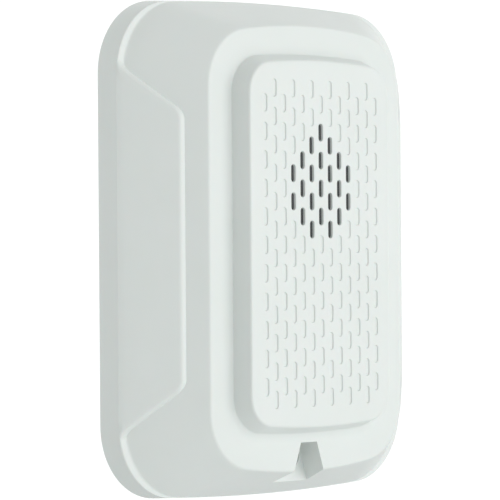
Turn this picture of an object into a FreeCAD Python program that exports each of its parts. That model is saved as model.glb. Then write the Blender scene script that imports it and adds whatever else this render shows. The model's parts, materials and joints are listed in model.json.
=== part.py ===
"""Wall-mounted alarm siren: a piezo horn head that hooks onto a mounting plate.

Millimetres. +X is right as seen from the room, +Y runs into the wall and +Z is up. The origin is the
centre of the back face, on the wall plane. Depths are measured from the wall towards the room, so a
depth d lies at Y = -d.
"""
import FreeCAD
import Part

import math
import os

from FreeCAD import Vector

# Housing
HOUSING_WIDTH = 119.0
HOUSING_HEIGHT = 143.0
CORNER_RADIUS = 21.4
EDGE_BOW = 2.5
BAND_DEPTH = 7.3
BAND_DRAFT = 0.45
LEDGE_WIDTH = 2.2
# The ledge fades out round the corners, so almost none is left along the top and bottom
LEDGE_HEIGHT = 0.15
FLANK_START_RADIUS = 22.0
RIM_DEPTH = 24.2
RIM_HALF_WIDTH = 39.9
RIM_HALF_HEIGHT = 63.7
RIM_CORNER_RADIUS = 16.8
RIM_BOW = 4.3
RIM_EDGE_RADIUS = 0.8
FLANK_POWER = 1.05
WALL = 2.0
FLANK_WALL = 2.4

# Side wings of the housing, between the back band and the rim
WING_DEPTH = 19.5
WING_HALF_WIDTH = 46.4
WING_FRONT_HALF_LENGTH = 38.3
WING_BACK_HALF_LENGTH = 51.2
WING_CORNER_RADIUS = 5.0
WING_FOOT_RADIUS = 4.5

# Raised front panel
PANEL_RISE = 5.5
PANEL_CENTRE_Z = 1.3
PANEL_BASE = (30.85, 53.95, 10.2, 1.5)
PANEL_FRONT = (29.2, 52.25, 8.9, 1.85)
PANEL_EDGE_RADIUS = 0.7
FRONT_DEPTH = RIM_DEPTH + PANEL_RISE

# Slot pattern on the raised panel
SLOT_LENGTH = 5.0
SLOT_WIDTH = 1.8
SLOT_PITCH_X = 3.85
SLOT_PITCH_Z = 7.98
SLOT_COLUMNS = 13
SLOT_MIDDLE_COLUMN = 7
ODD_COLUMN_ROWS = 11
EVEN_COLUMN_ROWS = 12
ODD_COLUMN_TOP_Z = 41.0
EVEN_COLUMN_TOP_Z = 45.27
SLOT_IMPRINT = 0.4
# Rows, counted from the top, that open into the horn in each column counted from the middle one
SOUND_ROWS = {0: (2, 5), 1: (3, 6), 2: (3, 5), 3: (4, 5)}

# Screwdriver recess and captive screw
SCREW_Z = -59.6
RECESS_TOP_Z = -55.5
RECESS_HALF_WIDTH = 3.35
RECESS_FLARE = 0.34
RECESS_FLOOR = 16.6
COUNTERBORE_RADIUS = 4.0
COUNTERBORE_FLOOR = 12.6
TOWER_END = 11.2
SCREW_HEAD_RADIUS = 3.5
SCREW_HEAD_THICKNESS = 2.2
SCREW_RADIUS = 1.75
SCREW_TIP = 1.6
SCREW_GAP = 0.35
RETAINER_RADIUS = 3.1
RETAINER_DEPTHS = (5.6, 6.4)
INSERT_DEPTHS = (0.6, 5.2)
INSERT_RADIUS = 3.2

# Mounting plate
PLATE_HALF_WIDTH = 56.0
PLATE_HALF_HEIGHT = 67.3
PLATE_THICKNESS = 2.2
PLATE_RIB_TOP = 6.0
PLATE_RIB = 1.6
BOX_SCREW_HALF_PITCH_Z = 41.65
BOX_SCREW_HALF_PITCH_X = 23.0
BOX_SLOT_LENGTH = 8.0
BOX_SLOT_RADIUS = 2.2
WIRE_WINDOW = (-22.0, 22.0, 2.5, 35.0)
TAB_CENTRE_X = 26.0
TAB_HALF_WIDTH = 5.0
TAB_BOTTOM_Z = 65.0
TAB_DEPTHS = (0.4, 1.9)
LIP_DEPTH = 3.6

# Wiring terminals on the mounting plate
TERMINAL_XS = (-24.0, -8.0, 8.0, 24.0)
TERMINAL_SCREW_Z = -17.0
TERMINAL_FLOOR = 3.0
CONTACT_THICKNESS = 0.8
CLAMP_BACK = 3.9
CLAMP_THICKNESS = 0.8
TERMINAL_SCREW_RADIUS = 1.5
TERMINAL_HEAD_RADIUS = 3.3
TERMINAL_HEAD_DEPTHS = (4.8, 6.2)
BLADE_Z = -7.0
BLADE_THICKNESS = 0.8
BLADE_HALF_HEIGHT = 1.5
BLADE_GAP = 0.3

# Head internals: a stack from the rear cover to the front panel
COVER_BACK = 8.6
COVER_FRONT = 10.1
COVER_HALF_WIDTH = 51.0
COVER_TOP_Z = 60.0
COVER_BOTTOM_Z = -51.0
POSTS = ((-40.0, 48.0), (40.0, 48.0), (-40.0, -44.0), (40.0, -44.0))
STANDOFFS = ((-30.0, 36.0), (30.0, 36.0), (-30.0, -42.0), (30.0, -42.0))
BOARD_BACK = 12.2
BOARD_FRONT = 13.8
BOARD_HALF_WIDTH = 35.5
BOARD_TOP_Z = 46.0
BOARD_BOTTOM_Z = -47.0
HORN_Z = 19.2
HORN_RADIUS = 21.0
HORN_WALL = 2.0
DISC_BACK = 20.2
DISC_THICKNESS = 0.3
DISC_RADIUS = 19.0
ELEMENT_RADIUS = 12.5
ELEMENT_THICKNESS = 0.3
CHAMBER_FRONT = 26.5
SCREEN_THICKNESS = 0.4
SCREEN_RADIUS = 20.0
# The panel is thinner over the screen, which lies in a pocket behind the sound slots
SOUND_WALL = 0.8
SCREEN_POCKET_RADIUS = 20.6
SWITCH_X = 28.0
SWITCH_Z = 22.0
SWITCH_HALF = 5.5
DIAL_RADIUS = 3.6
DIAL_BACK = 8.0
DIAL_FRONT = 9.9


def point(x, depth, z):
    """A point given by its depth from the wall."""
    return Vector(x, -depth, z)


def box(x0, x1, depth0, depth1, z0, z1):
    """A block between two X values, two depths and two heights."""
    return Part.makeBox(x1 - x0, depth1 - depth0, z1 - z0, Vector(x0, -depth1, z0))


def rod(x, z, radius, depth0, depth1):
    """A cylinder that runs from one depth to another."""
    return Part.makeCylinder(radius, depth1 - depth0, point(x, depth0, z), Vector(0, -1, 0))


def ring(x, z, outer, inner, depth0, depth1):
    """A tube along the depth direction."""
    return rod(x, z, outer, depth0, depth1).cut(rod(x, z, inner, depth0 - 1, depth1 + 1))


def polygon(points):
    """A closed flat face through the points."""
    return Part.Face(Part.makePolygon(points + [points[0]]))


def outline(half_width, half_height, radius, bow, depth, centre_z=0.0):
    """A rounded rectangle whose top and bottom edges bow outwards, as a wire at one depth."""
    big = (half_width ** 2 + bow ** 2) / (2 * bow)
    corner_x = half_width - radius
    corner_z = half_height - big + math.sqrt((big - radius) ** 2 - corner_x ** 2)
    lean = math.atan2(corner_x, corner_z - half_height + big)
    tangent = (big * math.sin(lean), half_height - big + big * math.cos(lean))
    middle_angle = (math.pi / 2 - lean) / 2
    middle = (corner_x + radius * math.cos(middle_angle), corner_z + radius * math.sin(middle_angle))

    def at(x, z):
        return point(x, depth, centre_z + z)

    edges = [
        Part.Arc(at(-tangent[0], tangent[1]), at(0, half_height), at(*tangent)),
        Part.Arc(at(*tangent), at(*middle), at(half_width, corner_z)),
        Part.LineSegment(at(half_width, corner_z), at(half_width, -corner_z)),
        Part.Arc(at(half_width, -corner_z), at(middle[0], -middle[1]), at(tangent[0], -tangent[1])),
        Part.Arc(at(tangent[0], -tangent[1]), at(0, -half_height), at(-tangent[0], -tangent[1])),
        Part.Arc(at(-tangent[0], -tangent[1]), at(-middle[0], -middle[1]), at(-half_width, -corner_z)),
        Part.LineSegment(at(-half_width, -corner_z), at(-half_width, corner_z)),
        Part.Arc(at(-half_width, corner_z), at(-middle[0], middle[1]), at(-tangent[0], tangent[1])),
    ]
    return Part.Wire([edge.toShape() for edge in edges])


def prism(half_width, half_height, radius, bow, depth0, depth1, centre_z=0.0):
    """A straight slab with the rounded outline."""
    face = Part.Face(outline(half_width, half_height, radius, bow, depth0, centre_z))
    return face.extrude(Vector(0, depth0 - depth1, 0))


def slot(x, z, length, width, depth0, depth1, along_x=False):
    """A round-ended slot through a range of depths."""
    reach = (length - width) / 2
    ends = [(x - reach, z), (x + reach, z)] if along_x else [(x, z - reach), (x, z + reach)]
    side = Vector(0, 0, width / 2) if along_x else Vector(width / 2, 0, 0)
    low, high = (point(a, depth0, b) for a, b in ends)
    out = (high - low).normalize() * (width / 2)
    edges = [
        Part.LineSegment(low - side, high - side),
        Part.Arc(high - side, high + out, high + side),
        Part.LineSegment(high + side, low + side),
        Part.Arc(low + side, low - out, low - side),
    ]
    wire = Part.Wire([edge.toShape() for edge in edges])
    return Part.Face(wire).extrude(Vector(0, depth0 - depth1, 0))


FLANK_START = (
    HOUSING_WIDTH / 2 - BAND_DRAFT - LEDGE_WIDTH,
    HOUSING_HEIGHT / 2 - BAND_DRAFT - LEDGE_HEIGHT,
    FLANK_START_RADIUS,
)
WING_START = (HOUSING_WIDTH / 2 - BAND_DRAFT, HOUSING_HEIGHT / 2 - BAND_DRAFT, CORNER_RADIUS - BAND_DRAFT)


def flank(depth, inset=0.0, reach_depth=RIM_DEPTH, reach_width=RIM_HALF_WIDTH, start=FLANK_START):
    """Half sizes of the domed flank at a depth: steep at the ledge and flatter towards the rim."""
    share = ((depth - BAND_DEPTH) / (reach_depth - BAND_DEPTH)) ** FLANK_POWER
    width, height, radius = start
    return (
        width + (reach_width - width) * share - inset,
        height + (RIM_HALF_HEIGHT - height) * share - inset,
        radius + (RIM_CORNER_RADIUS - radius) * share - inset,
        EDGE_BOW + (RIM_BOW - EDGE_BOW) * share,
    )


def loft(sections, ruled=False):
    """A closed solid through outlines."""
    return Part.makeLoft(sections, True, ruled)


def outer_band():
    """The straight band next to the wall."""
    back = outline(HOUSING_WIDTH / 2, HOUSING_HEIGHT / 2, CORNER_RADIUS, EDGE_BOW, 0)
    front = outline(
        HOUSING_WIDTH / 2 - BAND_DRAFT,
        HOUSING_HEIGHT / 2 - BAND_DRAFT,
        CORNER_RADIUS - BAND_DRAFT,
        EDGE_BOW,
        BAND_DEPTH,
    )
    return loft([back, front], ruled=True)


def dome(inset, front_depth, steps=5):
    """The domed body from the ledge to a front plane, moved inwards by an inset."""
    depths = [BAND_DEPTH + (front_depth - BAND_DEPTH) * i / (steps - 1) for i in range(steps)]
    return loft([outline(*flank(depth, inset), depth) for depth in depths])


def outer_dome():
    """The visible flank with the rounded edge of the rim."""
    solid = dome(0, RIM_DEPTH)
    rim = [edge for edge in solid.Edges if abs(edge.BoundBox.YMax + RIM_DEPTH) < 0.01]
    return solid.makeFillet(RIM_EDGE_RADIUS, rim)


def wing_side():
    """The wings' outline seen from the side: slanted ends that curve into the band at their feet."""
    slant = math.atan2(WING_DEPTH - BAND_DEPTH, WING_BACK_HALF_LENGTH - WING_FRONT_HALF_LENGTH)
    reach = WING_FOOT_RADIUS * math.tan(slant / 2)
    centre = (WING_BACK_HALF_LENGTH + reach, BAND_DEPTH + WING_FOOT_RADIUS)
    last, middle, first = (
        (
            centre[0] - WING_FOOT_RADIUS * math.sin(turn),
            centre[1] - WING_FOOT_RADIUS * math.cos(turn),
        )
        for turn in (slant, slant / 2, slant / 4)
    )
    x = -HOUSING_WIDTH / 2
    back = BAND_DEPTH - 1
    edges = []
    for side in (-1, 1):
        start, low, mid, high, tip = (
            point(x, depth, side * z)
            for z, depth in ((first[0], back), first, middle, last, (WING_FRONT_HALF_LENGTH, WING_DEPTH))
        )
        edges += [Part.LineSegment(start, low), Part.Arc(low, mid, high), Part.LineSegment(high, tip)]
    for z, depth in ((first[0], back), (WING_FRONT_HALF_LENGTH, WING_DEPTH)):
        edges.append(Part.LineSegment(point(x, depth, -z), point(x, depth, z)))
    return Part.Wire(Part.__sortEdges__([edge.toShape() for edge in edges]))


def wings():
    """The long sides' outer skin, which reaches forward to a ledge between two slanted ends."""
    depths = [BAND_DEPTH + (WING_DEPTH - BAND_DEPTH) * i / 4 for i in range(5)]
    skin = loft([
        outline(*flank(depth, 0, WING_DEPTH, WING_HALF_WIDTH, WING_START), depth) for depth in depths
    ])
    half = HOUSING_WIDTH / 2
    block = Part.Face(wing_side()).extrude(Vector(2 * half, 0, 0))
    front = [
        edge for edge in block.Edges
        if edge.BoundBox.XLength > half and abs(edge.BoundBox.YMax + WING_DEPTH) < 0.01
    ]
    return skin.common(block.makeFillet(WING_CORNER_RADIUS, front))


def raised_panel():
    """The drafted panel that stands on the rim."""
    base = outline(*PANEL_BASE, RIM_DEPTH - 1, PANEL_CENTRE_Z)
    foot = outline(*PANEL_BASE, RIM_DEPTH, PANEL_CENTRE_Z)
    front = outline(*PANEL_FRONT, FRONT_DEPTH, PANEL_CENTRE_Z)
    upper = loft([foot, front], ruled=True)
    edges = [edge for edge in upper.Edges if abs(edge.BoundBox.YMax + FRONT_DEPTH) < 0.01]
    return upper.makeFillet(PANEL_EDGE_RADIUS, edges).fuse(loft([base, foot], ruled=True))


def cavity():
    """The hollow of the housing, open at the wall."""
    back = prism(
        HOUSING_WIDTH / 2 - BAND_DRAFT - WALL,
        HOUSING_HEIGHT / 2 - BAND_DRAFT - WALL,
        CORNER_RADIUS - WALL,
        EDGE_BOW,
        -1,
        BAND_DEPTH - 1,
    )
    middle = prism(*flank(BAND_DEPTH, FLANK_WALL), BAND_DEPTH - 2, BAND_DEPTH)
    front_size = [size - WALL for size in PANEL_FRONT[:3]] + [PANEL_FRONT[3]]
    front = prism(*front_size, RIM_DEPTH - WALL - 1, FRONT_DEPTH - WALL, PANEL_CENTRE_Z)
    return back.fuse([middle, dome(FLANK_WALL, RIM_DEPTH - WALL), front])


def slot_centres():
    """Every slot of the front pattern, with whether it opens into the horn."""
    for column in range(1, SLOT_COLUMNS + 1):
        odd = column % 2 == 1
        rows = ODD_COLUMN_ROWS if odd else EVEN_COLUMN_ROWS
        top = ODD_COLUMN_TOP_Z if odd else EVEN_COLUMN_TOP_Z
        away = abs(column - SLOT_MIDDLE_COLUMN)
        first, last = SOUND_ROWS.get(away, (0, -1))
        for row in range(1, rows + 1):
            x = (column - SLOT_MIDDLE_COLUMN) * SLOT_PITCH_X
            yield x, top - (row - 1) * SLOT_PITCH_Z, first <= row <= last


def front_slots():
    """Cutters of the sound slots and of the shallow imprinted ones."""
    cutters = []
    for x, z, opens in slot_centres():
        floor = FRONT_DEPTH - WALL - 1 if opens else FRONT_DEPTH - SLOT_IMPRINT
        cutters.append(slot(x, z, SLOT_LENGTH, SLOT_WIDTH, floor, FRONT_DEPTH + 1))
    return Part.makeCompound(cutters)


def recess(margin, depth0, depth1):
    """The flared screwdriver recess at the bottom of the rim, grown by a margin."""
    bottom = -HOUSING_HEIGHT / 2 - margin
    top = RECESS_TOP_Z + margin
    wide = RECESS_HALF_WIDTH + margin + RECESS_FLARE * (top - bottom)
    narrow = RECESS_HALF_WIDTH + margin
    corners = [(-narrow, top), (narrow, top), (wide, bottom), (-wide, bottom)]
    face = polygon([point(x, depth0, z) for x, z in corners])
    return face.extrude(Vector(0, depth0 - depth1, 0))


def front_housing():
    """One moulding: band, wings, dome, rim and raised panel, with its posts, tower and hooks inside."""
    skin = outer_band().fuse([outer_dome(), wings(), raised_panel()])
    shell = skin.cut(cavity())
    inside = [rod(x, z, 3.2, COVER_FRONT, RIM_DEPTH) for x, z in POSTS]
    inside.append(rod(0, SCREW_Z, COUNTERBORE_RADIUS + 1.6, TOWER_END, RECESS_FLOOR))
    inside.append(recess(1.8, COUNTERBORE_FLOOR + 1.5, RIM_DEPTH - 1))
    for side in (-1, 1):
        x = side * TAB_CENTRE_X
        inside.append(
            box(x - TAB_HALF_WIDTH, x + TAB_HALF_WIDTH, *TAB_DEPTHS, TAB_BOTTOM_Z, HOUSING_HEIGHT / 2 - 1.8)
        )
    solid = shell.fuse([piece.common(skin) for piece in inside])
    cutters = [
        recess(0, RECESS_FLOOR, FRONT_DEPTH + 1),
        rod(0, SCREW_Z, COUNTERBORE_RADIUS, COUNTERBORE_FLOOR, RECESS_FLOOR + 1),
        rod(0, SCREW_Z, SCREW_RADIUS + SCREW_GAP, TOWER_END - 1, COUNTERBORE_FLOOR + 1),
    ]
    cutters += [rod(x, z, 1.3, COVER_FRONT - 1, COVER_FRONT + 7) for x, z in POSTS]
    cutters.append(rod(0, HORN_Z, SCREEN_POCKET_RADIUS, FRONT_DEPTH - WALL - 1, FRONT_DEPTH - SOUND_WALL))
    return solid.cut(cutters).cut(front_slots()).removeSplitter()


def mounting_plate():
    """The plate that is screwed over the wall box, with its stiffening rib and hook slots."""
    size = (PLATE_HALF_WIDTH, PLATE_HALF_HEIGHT, CORNER_RADIUS - 3.0, EDGE_BOW)
    inner = (size[0] - PLATE_RIB, size[1] - PLATE_RIB, size[2] - PLATE_RIB, size[3])
    rib = prism(*size, PLATE_THICKNESS, PLATE_RIB_TOP).cut(prism(*inner, 0, PLATE_RIB_TOP + 1))
    boss = rod(0, SCREW_Z, INSERT_RADIUS + 1.5, 0, INSERT_DEPTHS[1])
    plate = prism(*size, 0, PLATE_THICKNESS).fuse([rib, boss])
    x0, x1, z0, z1 = WIRE_WINDOW
    cutters = [
        box(x0, x1, -1, PLATE_THICKNESS + 1, z0, z1),
        rod(0, SCREW_Z, INSERT_RADIUS, *(INSERT_DEPTHS[0], INSERT_DEPTHS[1] + 1)),
    ]
    for z in (-BOX_SCREW_HALF_PITCH_Z, BOX_SCREW_HALF_PITCH_Z):
        cutters.append(slot(0, z, BOX_SLOT_LENGTH, 2 * BOX_SLOT_RADIUS, -1, PLATE_THICKNESS + 1))
        for x in (-BOX_SCREW_HALF_PITCH_X, BOX_SCREW_HALF_PITCH_X):
            cutters.append(
                slot(x, z, BOX_SLOT_LENGTH, 2 * BOX_SLOT_RADIUS, -1, PLATE_THICKNESS + 1, along_x=True)
            )
    for side in (-1, 1):
        x = side * TAB_CENTRE_X
        reach = TAB_HALF_WIDTH + 1.0
        cutters.append(box(x - reach, x + reach, -1, LIP_DEPTH, TAB_BOTTOM_Z - 1.6, PLATE_HALF_HEIGHT + 1))
    for x in TERMINAL_XS:
        cutters.append(rod(x, TERMINAL_SCREW_Z, TERMINAL_SCREW_RADIUS + 0.4, 0.3, PLATE_THICKNESS + 1))
    return plate.cut(cutters)


def terminal_block():
    """The insulating block with a barrier on each side of every terminal."""
    block = box(-32.6, 32.6, PLATE_THICKNESS, TERMINAL_FLOOR, -24.0, -3.5)
    walls = [box(x - 0.6, x + 0.6, TERMINAL_FLOOR, PLATE_RIB_TOP, -24.0, -3.5) for x in (-16, 0, 16)]
    walls += [box(x - 0.6, x + 0.6, TERMINAL_FLOOR, PLATE_RIB_TOP, -24.0, -3.5) for x in (-32, 32)]
    holes = [
        rod(x, TERMINAL_SCREW_Z, TERMINAL_SCREW_RADIUS + 0.4, PLATE_THICKNESS - 1, TERMINAL_FLOOR + 1)
        for x in TERMINAL_XS
    ]
    return block.fuse(walls).cut(holes)


def terminal_contact(x):
    """A plate under the wire clamp, with a fork that takes a blade of the head."""
    top = TERMINAL_FLOOR + CONTACT_THICKNESS
    contact = box(x - 5.5, x + 5.5, TERMINAL_FLOOR, top, -22.0, -5.0)
    inner = BLADE_THICKNESS / 2 + BLADE_GAP
    leaves = [
        box(x + inner, x + inner + 0.5, top, 7.0, -9.0, -5.0),
        box(x - inner - 0.5, x - inner, top, 7.0, -9.0, -5.0),
    ]
    hole = rod(x, TERMINAL_SCREW_Z, TERMINAL_SCREW_RADIUS + 0.4, TERMINAL_FLOOR - 1, top + 1)
    return contact.fuse(leaves).cut(hole)


def terminal_clamp(x):
    """The square pressure plate that holds the wires, with turned-down side lips."""
    front = CLAMP_BACK + CLAMP_THICKNESS
    plate = box(x - 4.5, x + 4.5, CLAMP_BACK, front, -21.3, -12.7)
    lips = [box(x + s * 4.9 - 0.4, x + s * 4.9 + 0.4, CLAMP_BACK, front + 0.9, -21.3, -12.7) for s in (-1, 1)]
    hole = rod(x, TERMINAL_SCREW_Z, TERMINAL_SCREW_RADIUS + 0.05, CLAMP_BACK - 1, front + 1)
    return plate.fuse(lips).cut(hole)


def cross_recess(x, z, arm, width, depth0, depth1):
    """A cross-shaped driver recess."""
    flat = box(x - arm, x + arm, depth0, depth1, z - width / 2, z + width / 2)
    return flat.fuse(box(x - width / 2, x + width / 2, depth0, depth1, z - arm, z + arm))


def terminal_screw(x):
    """A pan head binding screw, its thread left plain."""
    back, front = TERMINAL_HEAD_DEPTHS
    head = rod(x, TERMINAL_SCREW_Z, TERMINAL_HEAD_RADIUS, back, front)
    edge = [e for e in head.Edges if abs(e.BoundBox.YMax + front) < 0.01 and e.BoundBox.XLength > 1]
    shank = rod(x, TERMINAL_SCREW_Z, TERMINAL_SCREW_RADIUS, 0.6, back)
    screw = head.makeFillet(0.5, edge[:1]).fuse(shank)
    return screw.cut(cross_recess(x, TERMINAL_SCREW_Z, 1.9, 0.7, front - 0.9, front + 1))


def shorting_spring():
    """The strip that bridges the two middle terminals over their barrier."""
    foot = TERMINAL_FLOOR + CONTACT_THICKNESS
    lower = [(-5.2, foot), (-2.1, foot), (-1.5, 6.5), (1.5, 6.5), (2.1, foot), (5.2, foot)]
    upper = [(-5.2, foot + 0.3), (-2.4, foot + 0.3), (-1.8, 6.8), (1.8, 6.8), (2.4, foot + 0.3), (5.2, foot + 0.3)]
    face = polygon([point(x, depth, -12.0) for x, depth in lower + upper[::-1]])
    return face.extrude(Vector(0, 0, 2.4))


def screw_insert():
    """The brass insert of the mounting plate that takes the captive screw."""
    return ring(0, SCREW_Z, INSERT_RADIUS, SCREW_RADIUS + SCREW_GAP, *INSERT_DEPTHS)


def captive_screw():
    """The cover screw, driven home, its thread left plain."""
    back = COUNTERBORE_FLOOR + 0.1
    front = back + SCREW_HEAD_THICKNESS
    head = rod(0, SCREW_Z, SCREW_HEAD_RADIUS, back, front)
    edge = [e for e in head.Edges if abs(e.BoundBox.YMax + front) < 0.01 and e.BoundBox.XLength > 1]
    screw = head.makeFillet(0.7, edge[:1]).fuse(rod(0, SCREW_Z, SCREW_RADIUS, SCREW_TIP, back))
    return screw.cut(cross_recess(0, SCREW_Z, 2.1, 0.9, front - 1.5, front + 1))


def screw_retainer():
    """The washer on the screw's shank that keeps the screw in the head."""
    return ring(0, SCREW_Z, RETAINER_RADIUS, SCREW_RADIUS + 0.05, *RETAINER_DEPTHS)


def dust_screen():
    """The woven screen behind the sound slots."""
    front = FRONT_DEPTH - SOUND_WALL
    return rod(0, HORN_Z, SCREEN_RADIUS, front - SCREEN_THICKNESS, front)


def screen_gasket():
    """The foam ring between the screen and the horn chamber."""
    front = FRONT_DEPTH - SOUND_WALL - SCREEN_THICKNESS
    return ring(0, HORN_Z, SCREEN_RADIUS + 0.5, SCREEN_RADIUS - 3.0, CHAMBER_FRONT, front)


def resonator_front():
    """The front half of the horn chamber, with its ring of sound ports."""
    back = DISC_BACK + DISC_THICKNESS
    cup = rod(0, HORN_Z, HORN_RADIUS, back, CHAMBER_FRONT)
    hollow = rod(0, HORN_Z, DISC_RADIUS - 1.0, back - 1, CHAMBER_FRONT - 1.5)
    ports = [rod(0, HORN_Z, 4.0, back, CHAMBER_FRONT + 1)]
    for i in range(6):
        angle = math.radians(60 * i)
        x = 11.0 * math.cos(angle)
        z = HORN_Z + 11.0 * math.sin(angle)
        ports.append(rod(x, z, 2.0, back, CHAMBER_FRONT + 1))
    return cup.cut([hollow] + ports)


def resonator_rear():
    """The rear half of the horn chamber, which seats the piezo disc and lets its leads out."""
    front = DISC_BACK + DISC_THICKNESS
    cup = rod(0, HORN_Z, HORN_RADIUS, BOARD_FRONT, front)
    hollow = rod(0, HORN_Z, DISC_RADIUS - 1.0, BOARD_FRONT + 1.2, front + 1)
    seat = rod(0, HORN_Z, DISC_RADIUS + 0.05, DISC_BACK, front + 1)
    gate = box(-5.0, 5.0, BOARD_FRONT + 1.2, 18.5, HORN_Z - HORN_RADIUS - 1, HORN_Z - 10.0)
    return cup.cut([hollow, seat, gate])


def piezo_disc():
    """The brass diaphragm."""
    return rod(0, HORN_Z, DISC_RADIUS, DISC_BACK, DISC_BACK + DISC_THICKNESS)


def piezo_element():
    """The ceramic wafer bonded to the back of the diaphragm."""
    return rod(0, HORN_Z, ELEMENT_RADIUS, DISC_BACK - ELEMENT_THICKNESS, DISC_BACK)


def lead(points, radius):
    """A flexible lead: straight runs through the points, joined by the largest tangent arcs."""
    edges = []
    start = points[0]
    for before, corner, after in zip(points, points[1:], points[2:]):
        way_in = (corner - before).normalize()
        way_out = (after - corner).normalize()
        turn = way_in.getAngle(way_out)
        shorter = min((corner - before).Length, (after - corner).Length)
        cut = 0.45 * shorter
        bend = cut / math.tan(turn / 2)
        print(f"lead bend radius {bend:.1f} mm")
        first = corner - way_in * cut
        last = corner + way_out * cut
        inward = (way_out - way_in).normalize()
        centre = corner + inward * (bend / math.cos(turn / 2))
        middle = centre - inward * bend
        edges.append(Part.LineSegment(start, first).toShape())
        edges.append(Part.Arc(first, middle, last).toShape())
        start = last
    edges.append(Part.LineSegment(start, points[-1]).toShape())
    path = Part.Wire(edges)
    direction = points[1] - points[0]
    section = Part.Wire([Part.makeCircle(radius, points[0], direction)])
    return path.makePipeShell([section], True, False)


LEAD_RADIUS = 0.5
DISC_LEAD = ((-2.6, 20.1, 4.4), (-2.6, 18.2, 3.7), (-2.7, 16.9, 1.0), (-3.1, 16.5, -2.6),
             (-3.3, 15.6, -5.6), (-3.4, 13.9, -7.0))
ELEMENT_LEAD = ((2.2, 19.9, 11.0), (2.2, 17.9, 10.2), (2.3, 16.7, 7.0), (2.5, 16.3, 2.0),
                (2.9, 16.4, -2.8), (3.2, 15.5, -5.8), (3.3, 13.9, -7.2))


def piezo_lead(route):
    """One lead of the piezo disc, from its solder point to the circuit board."""
    return lead([point(*place) for place in route], LEAD_RADIUS)


def circuit_board():
    """The driver board, which rests on the rear cover's standoffs."""
    board = box(-BOARD_HALF_WIDTH, BOARD_HALF_WIDTH, BOARD_BACK, BOARD_FRONT, BOARD_BOTTOM_Z, BOARD_TOP_Z)
    corners = [edge for edge in board.Edges if edge.BoundBox.YLength > 1]
    board = board.makeFillet(3.0, corners)
    return board.cut([rod(x, z, 1.2, BOARD_BACK - 1, BOARD_FRONT + 1) for x, z in STANDOFFS])


def driver_chip():
    """The tone driver in a flat package with its pins."""
    body = box(-4.9, 4.9, BOARD_FRONT + 0.2, BOARD_FRONT + 1.7, -41.0, -37.0)
    pins = []
    for i in range(7):
        x = -3.81 + 1.27 * i
        for z0, z1 in ((-42.0, -41.0), (-37.0, -36.0)):
            pins.append(box(x - 0.2, x + 0.2, BOARD_FRONT, BOARD_FRONT + 0.9, z0, z1))
    return body.fuse(pins)


def surface_parts():
    """Chip resistors, small capacitors and two diodes on the board."""
    pieces = []
    for i in range(7):
        x = -27.0 + 4.2 * i
        pieces.append(box(x, x + 2.0, BOARD_FRONT, BOARD_FRONT + 0.6, -33.6, -32.4))
    for i in range(4):
        z = -12.0 - 4.6 * i
        pieces.append(box(25.0, 29.0, BOARD_FRONT, BOARD_FRONT + 2.2, z - 1.3, z + 1.3))
    return Part.makeCompound(pieces)


COIL_X = -18.0
COIL_Z = -20.0


def coil_core():
    """The drum core of the boost coil."""
    foot = rod(COIL_X, COIL_Z, 6.0, BOARD_FRONT, 15.3)
    post = rod(COIL_X, COIL_Z, 3.0, 15.3, 21.0)
    return foot.fuse([post, rod(COIL_X, COIL_Z, 6.0, 21.0, 22.5)])


def coil_winding():
    """The copper winding on the drum core."""
    return ring(COIL_X, COIL_Z, 5.5, 3.05, 15.4, 20.9)


CAPACITOR_XS = (0.5, 13.0)


def filter_capacitors():
    """Two upright electrolytic capacitors."""
    cans = []
    for x in CAPACITOR_XS:
        can = rod(x, COIL_Z, 5.0, BOARD_FRONT, BOARD_FRONT + 11.0)
        groove = ring(x, COIL_Z, 5.5, 4.6, BOARD_FRONT + 1.6, BOARD_FRONT + 2.4)
        cans.append(can.cut(groove))
    return Part.makeCompound(cans)


def tone_switch():
    """The body of the rotary tone selector, on the back of the board."""
    body = box(
        SWITCH_X - SWITCH_HALF, SWITCH_X + SWITCH_HALF, 9.0, BOARD_BACK,
        SWITCH_Z - SWITCH_HALF, SWITCH_Z + SWITCH_HALF,
    )
    return body.cut(rod(SWITCH_X, SWITCH_Z, DIAL_RADIUS + 0.1, 8.0, DIAL_FRONT + 0.1))


def tone_dial():
    """The selector's dial, with a screwdriver slot and a pointer notch."""
    dial = rod(SWITCH_X, SWITCH_Z, DIAL_RADIUS, DIAL_BACK, DIAL_FRONT)
    groove = box(SWITCH_X - 0.5, SWITCH_X + 0.5, DIAL_BACK - 1, DIAL_BACK + 0.8, SWITCH_Z - 2.6, SWITCH_Z + 5)
    return dial.cut(groove)


def contact_blade(x):
    """A flat blade from the board to the fork of one terminal."""
    half = BLADE_THICKNESS / 2
    blade = box(x - half, x + half, 4.6, BOARD_BACK, BLADE_Z - BLADE_HALF_HEIGHT, BLADE_Z + BLADE_HALF_HEIGHT)
    foot = box(x - 1.0, x + 1.0, BOARD_BACK - 0.5, BOARD_BACK, BLADE_Z - 2.2, BLADE_Z + 2.2)
    return blade.fuse(foot)


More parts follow.
